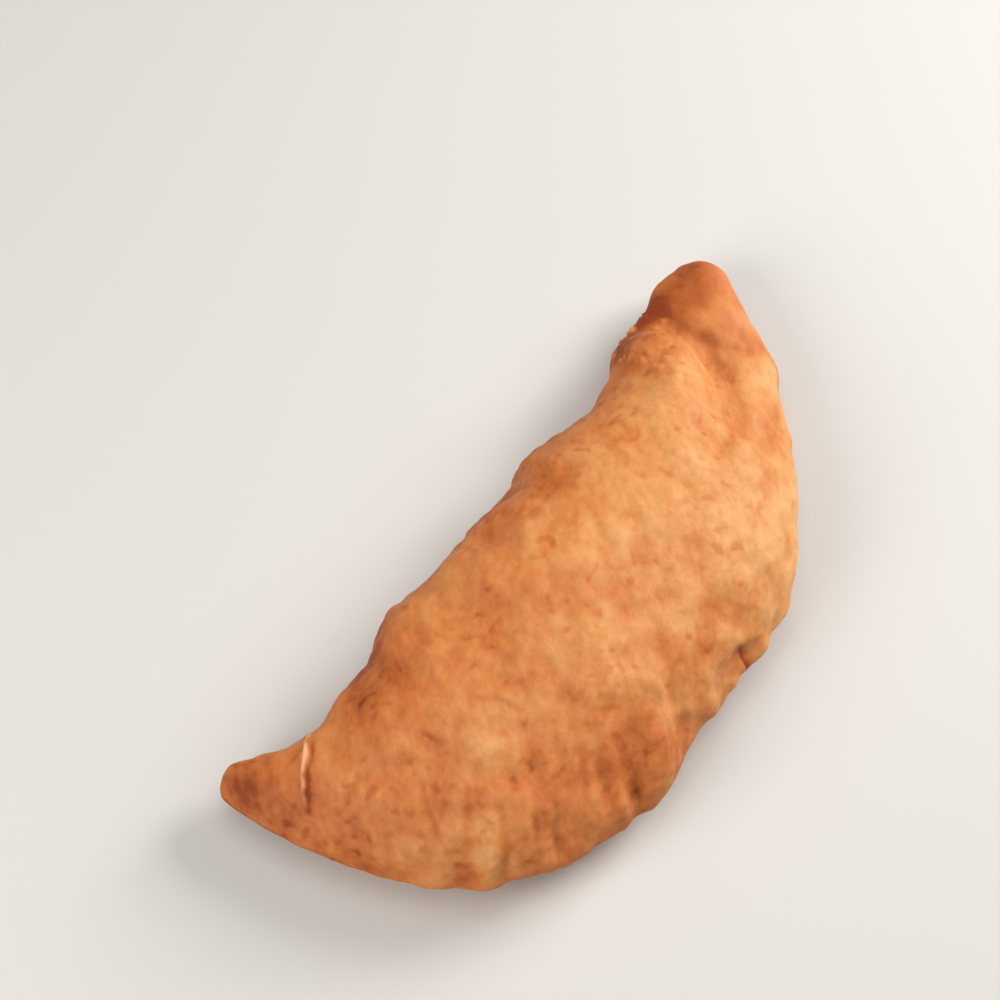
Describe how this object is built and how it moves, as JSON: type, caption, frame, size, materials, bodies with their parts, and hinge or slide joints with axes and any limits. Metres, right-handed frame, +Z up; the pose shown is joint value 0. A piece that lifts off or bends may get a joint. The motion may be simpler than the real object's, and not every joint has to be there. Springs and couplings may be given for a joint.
{
  "type": "fried calzone",
  "caption": "Half-moon pocket of fried pizza dough, folded over a filling and pinched shut along the curved edge, with two tapering horns and a puffed, blistered golden crust.",
  "frame": {"origin": "middle of the bounding box in plan, on the surface that the calzone rests on", "axes": "+X from horn to horn, towards the flatter far horn; +Y towards the folded side, so the pinched curved seam is on the -Y side; +Z up, with the shown side up"},
  "size_m": [0.2246, 0.1036, 0.0446],
  "materials": {
    "crust": "uneven golden to red-brown fried crust, satin, with fine blisters and darker spots"
  },
  "bodies": {
    "root": {"calzone": "crust"}
  },
  "joints": []
}
